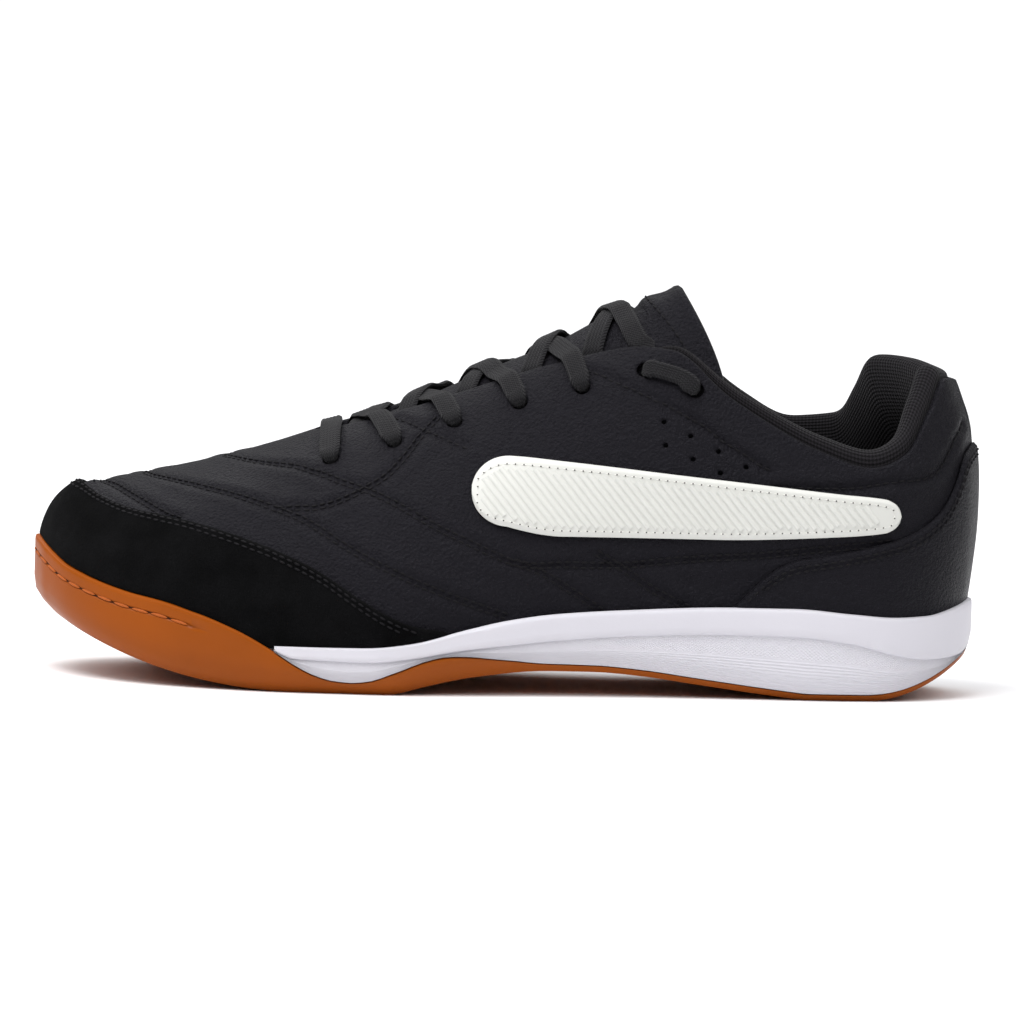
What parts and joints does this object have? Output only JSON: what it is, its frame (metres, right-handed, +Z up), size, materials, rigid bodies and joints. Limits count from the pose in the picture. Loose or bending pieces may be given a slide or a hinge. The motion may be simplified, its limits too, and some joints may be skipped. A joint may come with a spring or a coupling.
{
  "type": "indoor soccer shoe",
  "caption": "Low-cut black leather indoor soccer shoe for the left foot, with suede toe guard, ribbed side panels, padded collar, white midsole and gum rubber outsole.",
  "frame": {"origin": "on the floor under the middle of the shoe's box", "axes": "+Z up, +X from toe to heel, +Y from the outer to the inner side of the foot"},
  "size_m": [0.2898, 0.1046, 0.1255],
  "materials": {
    "gum": "semi-gloss gum rubber",
    "white_foam": "moulded EVA foam",
    "liner": "brushed textile",
    "leather": "smooth full-grain leather",
    "suede": "napped suede",
    "mesh": "padded spacer mesh",
    "panel": "ribbed synthetic leather",
    "lace": "flat woven polyester"
  },
  "bodies": {
    "root": {"outsole": "gum", "midsole": "white_foam", "insole": "liner", "upper": "leather", "toe_guard": "suede", "heel_counter": "leather", "collar": "mesh", "tongue": "leather", "side_panel_lateral": "panel", "side_panel_medial": "panel", "lace_bar": "lace", "lace_cross_1": "lace", "lace_cross_2": "lace", "lace_cross_3": "lace", "lace_cross_4": "lace", "lace_cross_5": "lace", "lace_run_lateral": "lace", "lace_run_medial": "lace"}
  },
  "joints": []
}
